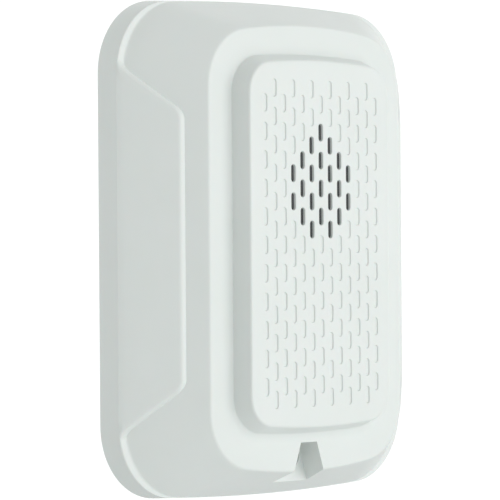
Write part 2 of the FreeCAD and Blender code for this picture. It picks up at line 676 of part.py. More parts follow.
def rear_cover():
    """The back of the head, with standoffs for the board and openings for the blades and the dial."""
    centre = (COVER_TOP_Z + COVER_BOTTOM_Z) / 2
    half_height = (COVER_TOP_Z - COVER_BOTTOM_Z) / 2
    cover = prism(COVER_HALF_WIDTH, half_height, 14.0, 1.5, COVER_BACK, COVER_FRONT, centre)
    cover = cover.fuse([rod(x, z, 2.5, COVER_FRONT, BOARD_BACK) for x, z in STANDOFFS])
    cover = cover.fuse([rod(x, z, 1.1, BOARD_BACK - 0.5, BOARD_FRONT) for x, z in STANDOFFS])
    cutters = [rod(x, z, 1.5, COVER_BACK - 1, COVER_FRONT + 1) for x, z in POSTS]
    reach = SWITCH_HALF + 0.3
    cutters.append(
        box(SWITCH_X - reach, SWITCH_X + reach, COVER_BACK - 1, COVER_FRONT + 1,
            SWITCH_Z - reach, SWITCH_Z + reach)
    )
    for x in TERMINAL_XS:
        cutters.append(box(x - 1.2, x + 1.2, COVER_BACK - 1, COVER_FRONT + 1, BLADE_Z - 2.6, BLADE_Z + 2.6))
    return cover.cut(cutters)


def cover_screws():
    """Four self-tapping screws that hold the rear cover to the housing's posts."""
    screws = []
    for x, z in POSTS:
        head = rod(x, z, 2.6, COVER_BACK - 1.3, COVER_BACK)
        shank = rod(x, z, 1.25, COVER_BACK, COVER_FRONT + 6)
        screws.append(head.fuse(shank).cut(cross_recess(x, z, 1.5, 0.6, COVER_BACK - 2, COVER_BACK - 0.5)))
    return Part.makeCompound(screws)


def nodes():
    """Every node of the assembly, by name."""
    built = {
        "front_housing": front_housing(),
        "dust_screen": dust_screen(),
        "screen_gasket": screen_gasket(),
        "resonator_front": resonator_front(),
        "resonator_rear": resonator_rear(),
        "piezo_disc": piezo_disc(),
        "piezo_element": piezo_element(),
        "disc_lead": piezo_lead(DISC_LEAD),
        "element_lead": piezo_lead(ELEMENT_LEAD),
        "circuit_board": circuit_board(),
        "driver_chip": driver_chip(),
        "surface_parts": surface_parts(),
        "coil_core": coil_core(),
        "coil_winding": coil_winding(),
        "filter_capacitors": filter_capacitors(),
        "tone_switch": tone_switch(),
        "tone_dial": tone_dial(),
        "contact_blades": Part.makeCompound([contact_blade(x) for x in TERMINAL_XS]),
        "rear_cover": rear_cover(),
        "cover_screws": cover_screws(),
        "captive_screw": captive_screw(),
        "screw_retainer": screw_retainer(),
        "mounting_plate": mounting_plate(),
        "screw_insert": screw_insert(),
        "terminal_block": terminal_block(),
        "terminal_contacts": Part.makeCompound([terminal_contact(x) for x in TERMINAL_XS]),
        "shorting_spring": shorting_spring(),
    }
    for number, x in enumerate(TERMINAL_XS, 1):
        built[f"terminal_clamp_{number}"] = terminal_clamp(x)
        built[f"terminal_screw_{number}"] = terminal_screw(x)
    return built


def main():
    """Builds the nodes and writes one STEP file for each."""
    os.makedirs("parts", exist_ok=True)
    for name, shape in nodes().items():
        solids = shape.Solids
        if not shape.isValid() or not solids:
            raise ValueError(f"{name} is not a valid solid")
        shape.exportStep(f"parts/{name}.step")
        print(name, len(solids), f"{shape.Volume:.1f} mm3")


main()
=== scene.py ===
"""Looks of a wall alarm siren: an off-white horn head that hooks onto its mounting plate.

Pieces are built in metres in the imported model's own frame: +X is right as seen from the room, +Y runs
into the wall and +Z is up. Sizes inside the classes are millimetres, and depths are counted from the
wall towards the room.
"""

import json
import logging
import math
from dataclasses import astuple, dataclass, replace
from enum import Enum
from typing import Any, Callable, Iterable, Mapping, Sequence

import bmesh
import bpy
import numpy as np
from mathutils import Matrix, Vector

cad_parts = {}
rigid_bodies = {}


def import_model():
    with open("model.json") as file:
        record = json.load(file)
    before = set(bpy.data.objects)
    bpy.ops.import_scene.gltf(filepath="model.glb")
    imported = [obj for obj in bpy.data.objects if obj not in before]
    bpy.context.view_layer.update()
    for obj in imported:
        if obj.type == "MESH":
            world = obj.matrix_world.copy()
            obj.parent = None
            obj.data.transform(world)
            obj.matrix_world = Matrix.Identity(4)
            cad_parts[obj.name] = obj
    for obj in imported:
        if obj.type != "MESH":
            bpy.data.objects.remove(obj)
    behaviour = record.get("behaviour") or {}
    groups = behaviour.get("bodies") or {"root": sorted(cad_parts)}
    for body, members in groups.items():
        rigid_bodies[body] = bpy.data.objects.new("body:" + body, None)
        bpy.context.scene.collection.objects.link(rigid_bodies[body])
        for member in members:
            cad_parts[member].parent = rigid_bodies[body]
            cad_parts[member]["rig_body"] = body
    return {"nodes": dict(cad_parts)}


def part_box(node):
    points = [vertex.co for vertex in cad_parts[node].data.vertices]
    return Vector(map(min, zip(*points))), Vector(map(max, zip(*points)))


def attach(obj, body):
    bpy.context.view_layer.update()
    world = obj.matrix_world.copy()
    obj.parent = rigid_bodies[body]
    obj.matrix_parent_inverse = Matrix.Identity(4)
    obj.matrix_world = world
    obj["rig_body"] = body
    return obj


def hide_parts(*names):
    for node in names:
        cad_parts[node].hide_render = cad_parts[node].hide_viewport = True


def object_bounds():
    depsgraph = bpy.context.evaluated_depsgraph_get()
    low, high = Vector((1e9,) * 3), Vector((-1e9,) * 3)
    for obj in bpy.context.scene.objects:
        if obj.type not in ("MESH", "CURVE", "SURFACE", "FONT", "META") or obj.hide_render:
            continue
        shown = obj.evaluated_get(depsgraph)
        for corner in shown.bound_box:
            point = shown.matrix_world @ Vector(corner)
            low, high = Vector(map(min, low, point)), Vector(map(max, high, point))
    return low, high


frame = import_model()
CAD_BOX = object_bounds()
MM = 0.001
LOG = logging.getLogger("siren")


# Shader building


class Value:
    """A shader socket that arithmetic extends with Math nodes."""

    def __init__(self, tree: "Tree", socket: bpy.types.NodeSocket) -> None:
        """Wraps one output socket of a tree."""
        self.tree = tree
        self.socket = socket

    def math(self, operation: str, *others: "Value | float") -> "Value":
        """Returns this value and the others through one Math operation."""
        inputs = dict(enumerate((self, *others)))
        return self.tree.node("ShaderNodeMath", {"operation": operation}, inputs)

    def __add__(self, other: "Value | float") -> "Value":
        """Returns the sum."""
        return self.math("ADD", other)

    __radd__ = __add__

    def __sub__(self, other: "Value | float") -> "Value":
        """Returns the difference."""
        return self.math("SUBTRACT", other)

    def __rsub__(self, other: float) -> "Value":
        """Returns a number less this value."""
        return self.tree.node("ShaderNodeMath", {"operation": "SUBTRACT"}, {0: other, 1: self})

    def __mul__(self, other: "Value | float") -> "Value":
        """Returns the product."""
        return self.math("MULTIPLY", other)

    __rmul__ = __mul__

    def between(self, low: float, high: float) -> "Value":
        """Returns 0 below low, 1 above high and a smooth step between them."""
        settings = {"interpolation_type": "SMOOTHSTEP"}
        inputs = {"Value": self, "From Min": low, "From Max": high}
        return self.tree.node("ShaderNodeMapRange", settings, inputs)


class Tree:
    """The node tree of a material or a world."""

    def __init__(self, owner: bpy.types.Material | bpy.types.World) -> None:
        """Empties the owner's tree."""
        owner.use_nodes = True
        self.nodes = owner.node_tree.nodes
        self.links = owner.node_tree.links
        self.nodes.clear()

    def node(
        self,
        kind: str,
        settings: Mapping[str, Any] | None = None,
        inputs: Mapping[str | int, Any] | None = None,
        output: str | int | None = 0,
    ) -> Value:
        """Adds a node.

        Args:
            kind: the node's type.
            settings: its own properties, set first.
            inputs: values or links of its sockets.
            output: the socket to return.

        Returns:
            The chosen output.
        """
        made = self.nodes.new(kind)
        for name, setting in (settings or {}).items():
            setattr(made, name, setting)
        for key, value in (inputs or {}).items():
            if isinstance(value, Value):
                self.links.new(value.socket, made.inputs[key])
            else:
                made.inputs[key].default_value = value
        return Value(self, made.outputs[output]) if output is not None else None

    def surface(self, **inputs: Any) -> None:
        """Adds a Principled shader and the output; the arguments name its sockets, _ for a space."""
        named = {name.replace("_", " "): value for name, value in inputs.items()}
        shader = self.node("ShaderNodeBsdfPrincipled", inputs=named)
        self.node("ShaderNodeOutputMaterial", inputs={"Surface": shader}, output=None)

    def place(self) -> Value:
        """Returns the object coordinates."""
        return self.node("ShaderNodeTexCoord", output="Object")

    def noise(self, at: Value, size: float, detail: float = 2.0, roughness: float = 0.5) -> Value:
        """Returns noise whose cells are about size metres across."""
        inputs = {"Vector": at, "Scale": 1 / size, "Detail": detail, "Roughness": roughness}
        return self.node("ShaderNodeTexNoise", inputs=inputs)

    def mix(self, share: Value | float, first: Any, second: Any) -> Value:
        """Returns a blend of two colours."""
        inputs = {"Factor": share, 6: first, 7: second}
        return self.node("ShaderNodeMix", {"data_type": "RGBA"}, inputs, output=2)

    def axis(self, at: Value, name: str) -> Value:
        """Returns the X, Y or Z part of a vector."""
        return self.node("ShaderNodeSeparateXYZ", inputs={"Vector": at}, output=name)

    def bump(self, height: Value, depth: float, strength: float = 1.0) -> Value:
        """Returns a normal bumped by a height that spans depth metres."""
        inputs = {"Height": height, "Distance": depth, "Strength": strength}
        return self.node("ShaderNodeBump", inputs=inputs)


Colour = tuple[float, float, float]


def shade(colour: Colour, factor: float) -> tuple[float, float, float, float]:
    """Returns the colour made lighter or darker, with full alpha."""
    return (*(min(1.0, part * factor) for part in colour), 1.0)


@dataclass(frozen=True)
class Finish:
    """A finish with a name and the record's slot it belongs to."""

    name: str
    slot: str

    def material(self) -> bpy.types.Material:
        """Returns the finish's material, made once."""
        found = bpy.data.materials.get(self.name)
        if found is None:
            found = bpy.data.materials.new(self.name)
            self.paint(Tree(found))
        return found

    def paint(self, tree: Tree) -> None:
        """Fills the material's tree."""
        raise NotImplementedError


@dataclass(frozen=True)
class Moulded(Finish):
    """Injection-moulded plastic with a spark-eroded grain and faint flow mottling."""

    colour: Colour
    roughness: float = 0.45
    grain: float = 0.35
    relief: float = 0.010
    mottling: float = 0.02
    warmth: Colour = (1.0, 0.985, 0.955)
    scatter: float = 0.0
    specular: float = 0.5

    def paint(self, tree: Tree) -> None:
        """Fills the tree with grain, mottling and satin gloss."""
        at = tree.place()
        clouds = tree.noise(at, 0.022, 3.0, 0.55)
        grain = tree.noise(at, self.grain * MM, 2.0)
        swell = tree.noise(at, self.grain * 9 * MM, 1.0)
        warm = tuple(a * b for a, b in zip(self.colour, self.warmth))
        dark = shade(warm, 1 - self.mottling)
        light = shade(self.colour, 1 + self.mottling)
        colour = tree.mix(clouds.between(0.3, 0.7), dark, light)
        fleck = grain.between(0.62, 0.80) * (self.mottling * 0.8)
        colour = tree.mix(fleck, colour, shade(self.colour, 0.75))
        polish = self.roughness - 0.06 + grain * 0.08 + clouds * 0.06
        relief = grain * 0.7 + swell * 0.6
        tree.surface(
            Base_Color=colour,
            Roughness=polish,
            Normal=tree.bump(relief, self.relief * MM),
            IOR=1.5,
            Specular_IOR_Level=self.specular,
            Subsurface_Weight=self.scatter,
            Subsurface_Scale=0.0012,
        )


@dataclass(frozen=True)
class Rolled(Finish):
    """Metal with fine drawn lines, a faint tarnish and small scratches."""

    colour: Colour
    roughness: float = 0.3
    stretch: tuple[float, float, float] = (1.0, 1.0, 14.0)
    line: float = 0.12
    tarnish: float = 0.25
    coat: float = 0.0

    def paint(self, tree: Tree) -> None:
        """Fills the tree with lines, tarnish and scratches."""
        at = tree.place()
        along = tree.node("ShaderNodeMapping", inputs={"Vector": at, "Scale": self.stretch})
        lines = tree.noise(along, self.line * MM, 3.0)
        stain = tree.noise(at, 0.0022, 4.0, 0.6)
        scratches = tree.noise(at, 0.0006, 5.0, 0.7)
        dulled = stain.between(0.45, 0.75) * self.tarnish
        colour = tree.mix(dulled, shade(self.colour, 1.0), shade(self.colour, 0.5))
        polish = self.roughness - 0.1 + lines * 0.12 + stain * 0.14 + scratches.between(0.6, 0.7) * 0.06
        tree.surface(
            Base_Color=colour,
            Metallic=1.0,
            Roughness=polish,
            Normal=tree.bump(lines, 0.004 * MM),
            Coat_Weight=self.coat,
            Coat_Roughness=0.15,
        )


@dataclass(frozen=True)
class Woven(Finish):
    """A fine woven screen: crossed threads over dark pinholes."""

    colour: Colour
    pitch: float = 0.42

    def paint(self, tree: Tree) -> None:
        """Fills the tree with the weave across X and Z."""
        at = tree.place()
        x, z = tree.axis(at, "X"), tree.axis(at, "Z")
        turn = math.pi / (self.pitch * MM)
        warp = (x * turn).math("SINE").math("ABSOLUTE")
        weft = (z * turn).math("SINE").math("ABSOLUTE")
        crossing = (x * turn + math.pi / 2).math("SINE") * (z * turn + math.pi / 2).math("SINE")
        over = crossing.between(-0.2, 0.2)
        thread = warp.math("MAXIMUM", weft)
        lint = tree.noise(at, 0.0008, 3.0)
        colour = tree.mix(thread.between(0.45, 0.95), shade(self.colour, 0.15), shade(self.colour, 1.5))
        colour = tree.mix(lint.between(0.6, 0.8) * 0.25, colour, shade(self.colour, 2.6))
        tree.surface(
            Base_Color=colour,
            Roughness=0.62 - thread * 0.15,
            Normal=tree.bump(thread * 0.8 + over * 0.4, 0.05 * MM, 0.8),
            Sheen_Weight=0.15,
        )


@dataclass(frozen=True)
class Porous(Finish):
    """Closed-cell foam, pressed ferrite or bare ceramic: fine pits over a mottled colour."""

    colour: Colour
    cell: float = 0.3
    pits: float = 0.05
    roughness: float = 0.85

    def paint(self, tree: Tree) -> None:
        """Fills the tree with pits, painted shade in the pits, and mottling."""
        at = tree.place()
        inputs = {"Vector": at, "Scale": 1 / (self.cell * MM)}
        cells = tree.node("ShaderNodeTexVoronoi", inputs=inputs, output="Distance")
        clouds = tree.noise(at, 0.003, 3.0)
        colour = tree.mix(clouds, shade(self.colour, 0.82), shade(self.colour, 1.12))
        # Painted shade: the pits' hollows, where the bump sinks, are painted darker.
        colour = tree.mix(cells.between(0.5, 0.1) * 0.5, colour, shade(self.colour, 0.55))
        tree.surface(
            Base_Color=colour,
            Roughness=self.roughness - clouds * 0.1,
            Normal=tree.bump(cells, self.pits * MM),
        )


@dataclass(frozen=True)
class SolderMask(Finish):
    """Circuit board: glossy mask over glass weave, with raised copper tracks beneath."""

    colour: Colour
    track: float = 3.2

    def paint(self, tree: Tree) -> None:
        """Fills the tree with tracks, vias and the weave's faint relief."""
        at = tree.place()
        cells = tree.node(
            "ShaderNodeTexVoronoi",
            {"distance": "CHEBYCHEV", "feature": "F1"},
            {"Vector": at, "Scale": 1 / (self.track * MM), "Randomness": 0.75},
            output="Distance",
        )
        tracks = (cells * 9).math("SINE").between(0.1, 0.35)
        weave = tree.noise(at, 0.0005, 2.0)
        clouds = tree.noise(at, 0.02, 2.0)
        colour = tree.mix(tracks, shade(self.colour, 0.8), shade(self.colour, 1.9))
        colour = tree.mix(clouds * 0.3, colour, shade(self.colour, 1.3))
        tree.surface(
            Base_Color=colour,
            Roughness=0.22 + weave * 0.12,
            Normal=tree.bump(tracks + weave * 0.1, 0.03 * MM),
            Coat_Weight=0.4,
            Coat_Roughness=0.12,
        )


class Finishes(Enum):
    """The object's finishes."""

    HOUSING = Moulded(
        "housing_satin_white", "housing_white", (0.765, 0.800, 0.780), 0.42, 0.30, 0.006, 0.008,
        (0.995, 1.0, 0.995), 0.05,
    )
    PLATE = Moulded(
        "plate_satin_white", "plate_white", (0.74, 0.755, 0.73), 0.5, 0.42, 0.014, 0.02, scatter=0.04
    )
    CHAMBER = Moulded("chamber_graphite", "chamber_grey", (0.13, 0.13, 0.14), 0.5, 0.4, 0.014, 0.06)
    TERMINAL = Moulded("terminal_black", "terminal_black", (0.035, 0.035, 0.038), 0.42, 0.35, 0.012, 0.10)
    CHIP = Moulded("chip_epoxy", "chip_black", (0.03, 0.03, 0.032), 0.55, 0.12, 0.010, 0.12)
    SLEEVE = Moulded("can_sleeve", "can_sleeve", (0.03, 0.035, 0.07), 0.3, 0.5, 0.006, 0.08)
    DIAL = Moulded("dial_amber", "dial_amber", (0.72, 0.30, 0.05), 0.35, 0.4, 0.008, 0.04, scatter=0.1)
    LEAD_RED = Moulded("lead_red", "lead_red", (0.50, 0.03, 0.02), 0.4, 0.3, 0.006, 0.05)
    LEAD_BLACK = Moulded("lead_black", "lead_black", (0.02, 0.02, 0.02), 0.4, 0.3, 0.006, 0.05)
    SCREEN = Woven("screen_weave", "screen_black", (0.030, 0.032, 0.034))
    FOAM = Porous("gasket_foam", "gasket_foam", (0.05, 0.05, 0.052))
    FERRITE = Porous("core_ferrite", "ferrite", (0.09, 0.09, 0.095), 0.12, 0.02, 0.6)
    CERAMIC = Porous("element_ceramic", "ceramic", (0.78, 0.76, 0.70), 0.1, 0.008, 0.45)
    BRASS = Rolled("brass_strip", "brass", (0.80, 0.60, 0.28), 0.28, tarnish=0.35)
    BRONZE = Rolled("spring_bronze", "spring_bronze", (0.74, 0.47, 0.25), 0.24, tarnish=0.3)
    STEEL = Rolled("zinc_plate", "plated_steel", (0.66, 0.66, 0.63), 0.3, (1.0, 1.0, 1.0), 0.2, 0.3)
    COPPER = Rolled("enamel_copper", "copper", (0.72, 0.30, 0.13), 0.3, tarnish=0.2, coat=0.5)
    BOARD = SolderMask("board_mask", "board_green", (0.015, 0.12, 0.05))


# Modelling helpers


def mode(name: str) -> None:
    """Switches the active piece to EDIT or OBJECT mode."""
    bpy.ops.object.mode_set(mode=name)


def deselect() -> None:
    """Leaves edit mode and deselects every object."""
    if bpy.context.object is not None and bpy.context.object.mode != "OBJECT":
        mode("OBJECT")
    bpy.ops.object.select_all(action="DESELECT")


def pick(*pieces: bpy.types.Object) -> None:
    """Selects only these pieces, with the first one active."""
    deselect()
    for piece in pieces:
        piece.select_set(True)
    bpy.context.view_layer.objects.active = pieces[0]


def start_loop(points: np.ndarray) -> bpy.types.Object:
    """Adds a circle, lays it along points and stays in edit mode.

    Args:
        points: one place in millimetres for each vertex, in order round the loop.

    Returns:
        The new piece, with its loop selected and numbered.
    """
    deselect()
    bpy.ops.mesh.primitive_circle_add(vertices=len(points), radius=0.01, fill_type="NOTHING")
    piece = bpy.context.object
    mode("EDIT")
    mesh = bmesh.from_edit_mesh(piece.data)
    station = mesh.verts.layers.int.new("station")
    for number, vert in enumerate(mesh.verts):
        vert[station] = number
        vert.co = Vector(points[number]) * MM
    bmesh.update_edit_mesh(piece.data)
    return piece


def carry_loop(piece: bpy.types.Object, points: np.ndarray) -> None:
    """Extrudes the selected loop and lays the new one along points."""
    bpy.ops.mesh.extrude_region_move()
    mesh = bmesh.from_edit_mesh(piece.data)
    station = mesh.verts.layers.int["station"]
    for vert in mesh.verts:
        if vert.select:
            vert.co = Vector(points[vert[station]]) * MM
    bmesh.update_edit_mesh(piece.data)


def select_open_edges() -> None:
    """Selects only the open edges in edit mode."""
    bpy.ops.mesh.select_mode(type="EDGE")
    bpy.ops.mesh.select_all(action="DESELECT")
    bpy.ops.mesh.select_non_manifold()


def select(piece: bpy.types.Object, kind: str, wanted: Callable[[Any], bool]) -> None:
    """Selects only some vertices, edges or faces of a piece in edit mode.

    Args:
        piece: the piece.
        kind: "VERT", "EDGE" or "FACE".
        wanted: tells whether one of them is selected.
    """
    bpy.ops.mesh.select_mode(type=kind)
    bpy.ops.mesh.select_all(action="DESELECT")
    mesh = bmesh.from_edit_mesh(piece.data)
    for part in {"VERT": mesh.verts, "EDGE": mesh.edges, "FACE": mesh.faces}[kind]:
        part.select = wanted(part)
    if kind == "VERT":
        mesh.select_flush(True)
    bmesh.update_edit_mesh(piece.data)


def finish_edit() -> None:
    """Turns all normals outwards and leaves edit mode."""
    bpy.ops.mesh.select_mode(type="VERT")
    bpy.ops.mesh.select_all(action="SELECT")
    bpy.ops.mesh.normals_make_consistent(inside=False)
    mode("OBJECT")


def loft(loops: Sequence[np.ndarray], closed: bool = True) -> bpy.types.Object:
    """Builds a skin through loops, capped at both ends if it is closed."""
    piece = start_loop(loops[0])
    for loop in loops[1:]:
        carry_loop(piece, loop)
    if closed:
        select_open_edges()
        bpy.ops.mesh.edge_face_add()
        finish_edit()
    else:
        mode("OBJECT")
    return piece


def softened(loops: Sequence[np.ndarray], cuts: Mapping[int, float], steps: int = 4) -> list[np.ndarray]:
    """Rounds a profile at chosen loops.

    Args:
        loops: the loops of a skin in order.
        cuts: for a loop's number, how far from it its rounding starts, in millimetres.
        steps: how many bands the rounding has.

    Returns:
        The loops with each chosen one replaced by a rounded run.
    """
    smooth: list[np.ndarray] = []
    for number, loop in enumerate(loops):
        if number not in cuts:
            smooth.append(loop)
            continue
        ends = []
        for other in (loops[number - 1], loops[number + 1]):
            way = other - loop
            length = np.linalg.norm(way, axis=1, keepdims=True)
            ends.append(loop + way * np.minimum(cuts[number] / length, 0.48))
        for share in np.linspace(0, 1, steps + 1):
            bend = loop * 2 * share * (1 - share)
            smooth.append(ends[0] * (1 - share) ** 2 + bend + ends[1] * share ** 2)
    return smooth


def rod(x: float, z: float, radius: float, back: float, front: float, sides: int = 48) -> bpy.types.Object:
    """Adds a cylinder along the depth direction, from one depth to another."""
    deselect()
    bpy.ops.mesh.primitive_cylinder_add(
        vertices=sides,
        radius=radius * MM,
        depth=(front - back) * MM,
        location=(0, 0, 0),
        rotation=(math.pi / 2, 0, 0),
    )
    piece = bpy.context.object
    bpy.ops.object.transform_apply(location=False, rotation=True, scale=False)
    piece.data.transform(Matrix.Translation((x * MM, -(back + front) / 2 * MM, z * MM)))
    return piece


def block(
    xs: tuple[float, float], depths: tuple[float, float], zs: tuple[float, float], edge: float = 0.0
) -> bpy.types.Object:
    """Adds a block between two X values, two depths and two heights, with rounded edges."""
    deselect()
    bpy.ops.mesh.primitive_cube_add(size=1)
    piece = bpy.context.object
    size = [(b - a) * MM for a, b in (xs, depths, zs)]
    middle = ((xs[0] + xs[1]) / 2 * MM, -(depths[0] + depths[1]) / 2 * MM, (zs[0] + zs[1]) / 2 * MM)
    piece.data.transform(Matrix.Translation(middle) @ Matrix.Diagonal((*size, 1)))
    if edge:
        mode("EDIT")
        bpy.ops.mesh.select_all(action="SELECT")
        bpy.ops.mesh.bevel(offset=edge * MM, segments=3, affect="EDGES")
        mode("OBJECT")
    return piece


def combine(piece: bpy.types.Object, tools: Iterable[bpy.types.Object], operation: str) -> None:
    """Applies a boolean with each tool and removes the tool."""
    for tool in tools:
        pick(piece)
        cut = piece.modifiers.new("combine", "BOOLEAN")
        cut.operation = operation
        cut.solver = "EXACT"
        cut.object = tool
        bpy.ops.object.modifier_apply(modifier=cut.name)
        bpy.data.objects.remove(tool)


def smooth(piece: bpy.types.Object, angle: float = 32.0) -> None:
    """Shades the piece smooth, with edges sharper than angle kept crisp."""
    pick(piece)
    bpy.ops.object.shade_smooth_by_angle(angle=math.radians(angle))


def dress(piece: bpy.types.Object, finish: Finishes) -> None:
    """Gives a piece its finish."""
    piece.data.materials.clear()
    piece.data.materials.append(finish.value.material())


def stand_for(piece: bpy.types.Object, node: str, finish: Finishes) -> None:
    """Finishes a piece that takes the place of a CAD node and rides on its body."""
    piece.name = f"{node}_finished"
    dress(piece, finish)
    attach(piece, frame["nodes"][node]["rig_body"])
    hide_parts(node)
    LOG.info("%s: %d faces", piece.name, len(piece.data.polygons))


def refine(node: str, finish: Finishes, edge: float) -> None:
    """Copies a CAD node, merges it and rounds its edges; the copy replaces the node.

    Args:
        node: the CAD node.
        finish: its finish.
        edge: the rounding's size in millimetres.
    """
    source = frame["nodes"][node]
    piece = bpy.data.objects.new(node, source.data.copy())
    bpy.context.scene.collection.objects.link(piece)
    pick(piece)
    mode("EDIT")
    bpy.ops.mesh.select_all(action="SELECT")
    bpy.ops.mesh.remove_doubles(threshold=0.000002)
    bpy.ops.mesh.customdata_custom_splitnormals_clear()
    bpy.ops.mesh.dissolve_limited(angle_limit=math.radians(0.6))
    mode("OBJECT")
    rounding = piece.modifiers.new("edges", "BEVEL")
    rounding.width = edge * MM
    rounding.segments = 2
    rounding.limit_method = "ANGLE"
    rounding.angle_limit = math.radians(40)
    bpy.ops.object.modifier_apply(modifier=rounding.name)
    smooth(piece)
    stand_for(piece, node, finish)


# Outlines


QUARTER = {"end": 12, "corner": 20, "side": 16}


@dataclass(frozen=True)
class Outline:
    """A rounded rectangle whose top and bottom edges bow outwards."""

    half_width: float
    half_height: float
    radius: float
    bow: float
    centre_z: float = 0.0

    def inset(self, amount: float) -> "Outline":
        """Returns the outline moved inwards."""
        width, height = self.half_width - amount, self.half_height - amount
        return replace(self, half_width=width, half_height=height, radius=max(self.radius - amount, 0.5))

    def blend(self, other: "Outline", share: float) -> "Outline":
        """Returns the outline that lies a share of the way to another one."""
        return Outline(*(a + (b - a) * share for a, b in zip(astuple(self), astuple(other))))

    def _arcs(self) -> tuple[float, float, float, float]:
        """Returns the bowed edge's radius and centre height, and the corner centre's X and Z."""
        big = (self.half_width ** 2 + self.bow ** 2) / (2 * self.bow)
        centre = self.half_height - big
        corner_x = self.half_width - self.radius
        return big, centre, corner_x, centre + math.sqrt((big - self.radius) ** 2 - corner_x ** 2)

    def quarter(self) -> list[tuple[float, float]]:
        """Returns the points from the top's middle to the right side's middle."""
        big, centre, corner_x, corner_z = self._arcs()
        lean = math.atan2(corner_x, corner_z - centre)
        points = []
        for i in range(QUARTER["end"]):
            angle = lean * i / QUARTER["end"]
            points.append((big * math.sin(angle), centre + big * math.cos(angle)))
        for i in range(QUARTER["corner"]):
            angle = lean + (math.pi / 2 - lean) * i / QUARTER["corner"]
            x, z = corner_x + self.radius * math.sin(angle), corner_z + self.radius * math.cos(angle)
            points.append((x, z))
        for i in range(QUARTER["side"] + 1):
            points.append((self.half_width, corner_z * (1 - i / QUARTER["side"])))
        return points

    def holds(self, x: float, z: float) -> bool:
        """Returns whether a point with positive X and Z lies inside the outline."""
        big, centre, corner_x, corner_z = self._arcs()
        if x > corner_x and z > corner_z:
            return math.hypot(x - corner_x, z - corner_z) < self.radius
        return x < self.half_width and math.hypot(x, z - centre) < big

    def at(self, depth: float | np.ndarray) -> np.ndarray:
        """Returns the whole loop at a depth, clockwise as seen from the room."""
        quarter = self.quarter()
        right = quarter + [(x, -z) for x, z in reversed(quarter[:-1])]
        left = [(-x, z) for x, z in reversed(right[1:-1])]
        flat = np.array(right + left)
        loop = np.empty((len(flat), 3))
        loop[:, 0] = flat[:, 0]
        loop[:, 1] = -np.asarray(depth)
        loop[:, 2] = flat[:, 1] + self.centre_z
        return loop


def facing_ends(outline: Outline) -> np.ndarray:
    """Returns, for each point of a loop, 1 where it faces up or down and 0 where it faces a side."""
    loop = outline.at(0)
    along = np.roll(loop, -1, axis=0) - np.roll(loop, 1, axis=0)
    share = np.abs(along[:, 0]) / np.linalg.norm(along, axis=1)
    return share * share * (3 - 2 * share)


# Front housing


